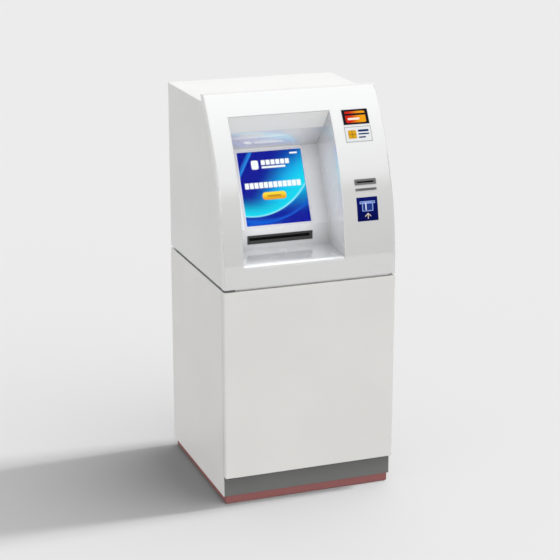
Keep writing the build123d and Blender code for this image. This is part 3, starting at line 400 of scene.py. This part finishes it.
def display_picture(name):
    """Black display case whose front shows a lit picture, a little stronger in mirrors."""
    n = Look(name)
    u, v = screen_space(n)
    colour = plain_marks(n, u, v, blue_curves(n, u, v))
    lit_area = n.patch(u, v, (0.5, 0.5), (0.5, 0.5), soft=0.001)
    front = n.dot(n.node("NewGeometry").outputs["Normal"], PANEL_FACING)
    lit_area = n.times(lit_area, n.math("GREATER_THAN", front, 0.9))
    power = n.math("MULTIPLY_ADD", n.node("LightPath").outputs["Is Glossy Ray"], 0.8, 1.0)
    n.base(Base_Color=(0.004, 0.004, 0.005, 1), Roughness=n.span(n.noise(40.0), 0.3, 0.7, 0.35, 0.5),
           Specular_IOR_Level=0.01, Emission_Color=colour, Emission_Strength=n.times(lit_area, power))
    return n.material


def touch_glass(name):
    """Clear cover glass: see-through, with a soft reflection and faint finger marks."""
    n = Look(name)
    marks = n.span(n.noise(26.0, 6.0, 0.7, distortion=0.6), 0.50, 0.78)
    clear = n.node("BsdfTransparent", {"Color": (0.97, 0.985, 0.98, 1)}).outputs[0]
    blur = n.span(marks, 0.0, 1.0, 0.03, 0.16)
    shine = n.node("BsdfGlossy", {"Color": WHITE, "Roughness": blur}).outputs[0]
    share = n.node("Fresnel", {"IOR": 1.45}).outputs[0]
    share = n.times(share, n.span(marks, 0.0, 1.0, 0.08, 0.18))
    n.surface(n.node("MixShader", {0: share, 1: clear, 2: shine}).outputs[0])
    return n.material


# ================================================================ labels
def label_space(n, node):
    """u, v over a label's width and height."""
    low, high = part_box(node)
    x, _, z = n.axes()
    return n.span(x, low.x, high.x, smooth=False), n.span(z, low.z, high.z, smooth=False)


def printed_film(n, colour):
    """Finishes a label: printed film under a satin laminate."""
    rough = n.span(n.noise(30.0, 5.0), 0.3, 0.75, 0.22, 0.36)
    normal = n.bump(n.noise(300.0, 2.0), 0.00003, 0.4)
    n.base(Base_Color=colour, Roughness=rough, Normal=normal, Specular_IOR_Level=0.08)
    return n.material


def card_guide(name):
    """Blue label: a card going into a slot, and an arrow below it."""
    n = Look(name)
    u, v = label_space(n, "card_guide_label")
    centre = 0.51
    ground = n.mix(n.span(v, 0.0, 1.0), srgb(0, 8, 84), srgb(0, 16, 106))
    slot = n.math("SUBTRACT", n.patch(u, v, (centre, 0.78), (0.37, 0.055), 0.03),
                  n.patch(u, v, (centre, 0.78), (0.325, 0.018), 0.01))
    outer = n.patch(u, v, (centre, 0.60), (0.265, 0.19), 0.04)
    inner = n.patch(u, v, (centre, 0.60), (0.225, 0.16), 0.02)
    card = n.math("SUBTRACT", outer, inner, clamp=True)
    stripe = n.patch(u, v, (0.43, 0.61), (0.030, 0.15), 0.01)
    colour = n.mix(n.times(inner, 0.35), ground, srgb(60, 95, 190))
    colour = n.mix(n.layer(slot, card), colour, srgb(150, 175, 235))
    colour = n.mix(stripe, colour, srgb(215, 222, 245))
    stem = n.patch(u, v, (centre, 0.19), (0.020, 0.10), 0.01)
    fold = n.math("ABSOLUTE", n.math("SUBTRACT", u, centre))
    reach = n.math("ABSOLUTE", n.math("ADD", n.math("SUBTRACT", v, 0.315), n.times(fold, 0.85)))
    head = n.times(n.span(reach, 0.030, 0.016), n.span(fold, 0.150, 0.138))
    colour = n.mix(n.layer(stem, head), colour, srgb(226, 214, 188))
    return printed_film(n, colour)


def plain_card(name):
    """Dark label with a pale border and one plain card that fades from red to amber."""
    n = Look(name)
    u, v = label_space(n, "scheme_label_upper")
    dark = srgb(8, 6, 18)
    ground = n.patch(u, v, (0.5, 0.5), (0.485, 0.47), soft=0.004)
    colour = n.mix(ground, srgb(200, 200, 204), dark)
    face = n.mix(n.span(u, 0.25, 0.75), srgb(205, 30, 8), srgb(236, 156, 8))
    colour = n.mix(n.patch(u, v, (0.5, 0.5), (0.38, 0.36), 0.08), colour, face)
    colour = n.mix(n.patch(u, v, (0.5, 0.66), (0.38, 0.06)), colour, dark)
    strip = n.patch(u, v, (0.42, 0.38), (0.22, 0.065), 0.02)
    return printed_film(n, n.mix(strip, colour, srgb(240, 230, 214)))


def chip_picture(name):
    """White label with a gold chip and three short bars beside it."""
    n = Look(name)
    u, v = label_space(n, "scheme_label_lower")
    ground = n.patch(u, v, (0.5, 0.5), (0.475, 0.45), soft=0.004)
    colour = n.mix(ground, srgb(170, 172, 172), srgb(226, 228, 230))
    colour = n.mix(n.patch(u, v, (0.27, 0.5), (0.155, 0.27), 0.05), colour, srgb(214, 160, 24))
    contacts = n.layer(n.patch(u, v, (0.27, 0.5), (0.010, 0.27)), n.patch(u, v, (0.27, 0.5), (0.155, 0.018)))
    colour = n.mix(n.times(contacts, 0.7), colour, srgb(90, 60, 10))
    bars = n.layer(n.patch(u, v, (0.70, 0.71), (0.20, 0.07), 0.02),
                   n.patch(u, v, (0.70, 0.50), (0.20, 0.045), 0.02),
                   n.patch(u, v, (0.63, 0.29), (0.13, 0.045), 0.02))
    return printed_film(n, n.mix(bars, colour, srgb(14, 44, 100)))


# ================================================================ materials on the part
SLOT_LOOKS = {
    "body_paint": powder_coat("body_paint", srgb(236, 235, 232)),
    "hood_paint": powder_coat("hood_paint", srgb(235, 235, 234)),
    "plinth_paint": powder_coat("plinth_paint", srgb(150, 92, 90), 0.55, 2.0, 0.4, srgb(170, 150, 145)),
    "kick_paint": powder_coat("kick_paint", srgb(116, 117, 115), 0.40, 1.5, 0.5, srgb(170, 170, 168)),
    "steel_fasteners": sheet_metal("steel_fasteners", (0.55, 0.56, 0.56, 1), 0.3),
    "bright_steel": sheet_metal("bright_steel", (0.62, 0.62, 0.63, 1), 0.22),
    "zinc_steel": sheet_metal("zinc_steel", (0.50, 0.52, 0.54, 1), 0.40, (1.0, 8.0, 8.0), 0.35),
    "case_steel": powder_coat("case_steel", srgb(48, 48, 50), 0.5, 2.0, 0.5, srgb(150, 150, 150)),
    "neck_paint": powder_coat("neck_paint", srgb(206, 206, 203), 0.6, 1.5, 0.2, srgb(120, 120, 120)),
    "safe_paint": powder_coat("safe_paint", srgb(118, 124, 130), 0.38, 2.5, 0.4, srgb(180, 182, 184)),
    "grommet_rubber": rubber("grommet_rubber", even(0.02)),
    "fan_plastic": moulded("fan_plastic", (0.022, 0.022, 0.024, 1), 0.48),
    "lock_chrome": sheet_metal("lock_chrome", (0.80, 0.80, 0.81, 1), 0.14),
    "fascia_gloss": lacquer("fascia_gloss", srgb(224, 224, 223), 0.35, 2.0, 0.03),
    # corners: strength of the painted shade in the recess liner's inside corners
    "liner_gloss": lacquer("liner_gloss", srgb(236, 236, 238), 0.25, 2.0, 0.04, corners=0.6),
    "rim_plastic": moulded("rim_plastic", srgb(228, 227, 236), 0.28, 600.0, 0.00003, 0.1),
    "screen_glass": touch_glass("screen_glass"),
    "display": display_picture("display"),
    "dark_plastic": slot_surround("dark_plastic", srgb(61, 61, 60), SHUTTER_LOW - CASH_MOUTH,
                                  SHUTTER_HIGH + CASH_MOUTH),
    "bezel_grey": moulded("bezel_grey", srgb(122, 122, 123), 0.45),
    "shutter_steel": sheet_metal("shutter_steel", even(0.004), 0.5),
    "cassette_plastic": moulded("cassette_plastic", srgb(78, 90, 100), 0.46),
    "reject_plastic": moulded("reject_plastic", srgb(146, 44, 38), 0.46),
    "roller_rubber": rubber("roller_rubber", (0.035, 0.035, 0.036, 1)),
    "paper": wound_paper("paper"),
}
NODE_LOOKS = {
    "card_bezel": slot_surround("card_slot_grey", srgb(116, 116, 117), CARD_LOW + CARD_MOUTH,
                                CARD_HIGH - CARD_MOUTH),
    "card_guide_label": card_guide("card_guide_print"),
    "scheme_label_upper": plain_card("plain_card_print"),
    "scheme_label_lower": chip_picture("chip_picture_print"),
}

for entry in frame["record"]["subparts"]:
    node = frame["nodes"][entry["node"]]
    look = NODE_LOOKS.get(entry["node"]) or SLOT_LOOKS[entry["material_slot"]]
    node.data.materials.clear()
    node.data.materials.append(look)


# ================================================================ floor, light, camera
def pale_floor():
    """Plain pale floor; a soft extra shade left of the plinth, darker far ahead in mirrors."""
    n = Look("pale_floor")
    ray = n.node("LightPath").outputs
    x, y, _ = n.axes()
    fade = n.times(n.span(n.length(n.coords()), *FLOOR_DIM_FROM), ray["Is Glossy Ray"])
    fade = n.times(fade, n.span(y, *FLOOR_DIM_AHEAD))
    colour = n.mix(n.times(fade, FLOOR_DIM), even(FLOOR_LEVEL), BLACK)
    shade = n.times(n.enclosed(CONTACT_REACH), n.span(x, *CONTACT_X))
    shade = n.times(shade, n.span(n.math("ABSOLUTE", y), *CONTACT_Y))
    colour = n.mix(n.times(shade, CONTACT_SHADE), colour, BLACK)
    diffuse = n.node("BsdfDiffuse", {"Color": colour}).outputs[0]
    bounce = n.node("Emission", {"Color": even(FLOOR_BOUNCE)}).outputs[0]
    n.surface(n.node("MixShader", {0: ray["Is Diffuse Ray"], 1: diffuse, 2: bounce}).outputs[0])
    n.material.cycles.emission_sampling = "NONE"
    corners = [(-FLOOR_HALF, -FLOOR_HALF, 0), (FLOOR_HALF, -FLOOR_HALF, 0),
               (FLOOR_HALF, FLOOR_HALF, 0), (-FLOOR_HALF, FLOOR_HALF, 0)]
    mesh = bpy.data.meshes.new("floor")
    mesh.from_pydata(corners, [], [(0, 1, 2, 3)])
    mesh.materials.append(n.material)
    made = bpy.data.objects.new("floor", mesh)
    bpy.context.scene.collection.objects.link(made)
    return made


def studio_world():
    """Soft surround: for matt surfaces brighter on the right; in mirrors dim ahead and bright overhead."""
    world = bpy.data.worlds.new("studio")
    bpy.context.scene.world = world
    world.use_nodes = True
    n = Nodes(world.node_tree)
    x, y, z = n.axes(n.node("TexCoord").outputs["Generated"])
    climb = n.span(z, *REFLECT_CLIMB)
    ahead = n.math("MULTIPLY_ADD", climb, REFLECT_HIGH - REFLECT_LOW, REFLECT_LOW)
    ahead = n.math("MULTIPLY_ADD", n.span(z, *REFLECT_OVERHEAD), REFLECT_TOP - REFLECT_HIGH, ahead)
    mirrored = n.mix(n.span(y, *REFLECT_TURN), ahead, even(REFLECT_BEHIND))
    tint = n.mix(climb, (1.0, 0.985, 0.97, 1), (0.955, 0.98, 1.0, 1))
    soft = n.mix(n.span(x, -SIDE_BLEND, SIDE_BLEND), even(SKY_LEFT), even(SKY_RIGHT))
    depth = n.mix(n.span(y, -SIDE_BLEND, SIDE_BLEND), even(SKY_AHEAD), even(SKY_BEHIND))
    soft = n.mix(1.0, soft, depth, "MULTIPLY")
    ray = n.node("LightPath").outputs
    colour = n.mix(ray["Is Glossy Ray"], soft, n.mix(1.0, mirrored, tint, "MULTIPLY"))
    colour = n.mix(ray["Is Camera Ray"], colour, even(BACKDROP))
    n.put(n.tree.nodes["Background"].inputs["Color"], colour)


def sun(name, towards, level, spread, receivers, shadow=True):
    """Soft directional light, unseen in mirrors, that falls on the given objects only."""
    data = bpy.data.lights.new(name, "SUN")
    data.energy = level
    data.angle = math.radians(spread)
    data.use_shadow = shadow
    lamp = bpy.data.objects.new(name, data)
    lamp.rotation_mode = "QUATERNION"
    lamp.rotation_quaternion = Vector(towards).to_track_quat("Z", "Y")
    bpy.context.scene.collection.objects.link(lamp)
    lit = bpy.data.collections.new(name + "_lit")
    for thing in receivers:
        lit.objects.link(thing)
    lamp.light_linking.receiver_collection = lit
    lamp.visible_glossy = False


def camera():
    """Sees the machine from the front left and a little above."""
    level = math.cos(CAMERA_ELEVATION)
    back = Vector((math.sin(CAMERA_AZIMUTH) * level, -math.cos(CAMERA_AZIMUTH) * level,
                   math.sin(CAMERA_ELEVATION)))
    data = bpy.data.cameras.new("camera")
    data.lens = CAMERA_LENS
    data.sensor_width = CAMERA_SENSOR
    data.clip_end = CAMERA_REACH
    made = bpy.data.objects.new("camera", data)
    made.location = CAMERA_TARGET + back * CAMERA_DISTANCE
    made.rotation_mode = "QUATERNION"
    made.rotation_quaternion = (-back).to_track_quat("-Z", "Y")
    bpy.context.scene.collection.objects.link(made)
    bpy.context.scene.camera = made


def parts(*names):
    return [frame["nodes"][name] for name in names]


floor = pale_floor()
studio_world()
recess = parts("recess_liner", "recess_brow", "screen_bezel", "touch_glass", "lcd_module", "cash_slot_bezel",
               "cash_shutter")
others = [part for part in frame["nodes"].values() if part not in recess]
sun("key", (0.90, -0.015, 0.62), level=2.0, spread=9.0, receivers=[floor] + recess)
sun("fill", (-1.0, -1.0, -0.40), level=0.62, spread=40.0, receivers=recess, shadow=False)
sun("lift", (0.0, -1.0, -0.40), level=0.45, spread=40.0, receivers=parts("recess_brow"), shadow=False)
sun("gap", (-0.3, -0.8, 0.8), level=2.2, spread=40.0, receivers=parts("neck_collar", "cabinet_top_plate"),
    shadow=False)
sun("over", (-0.2, -0.8, 1.0), level=0.8, spread=40.0, receivers=recess)
sun("top", (0.0, -0.10, 1.0), level=1.5, spread=60.0, receivers=others)
sun("left", (-1.0, -0.40, 0.10), level=0.80, spread=30.0, receivers=others)
camera()
bpy.context.scene.view_settings.view_transform = "Standard"
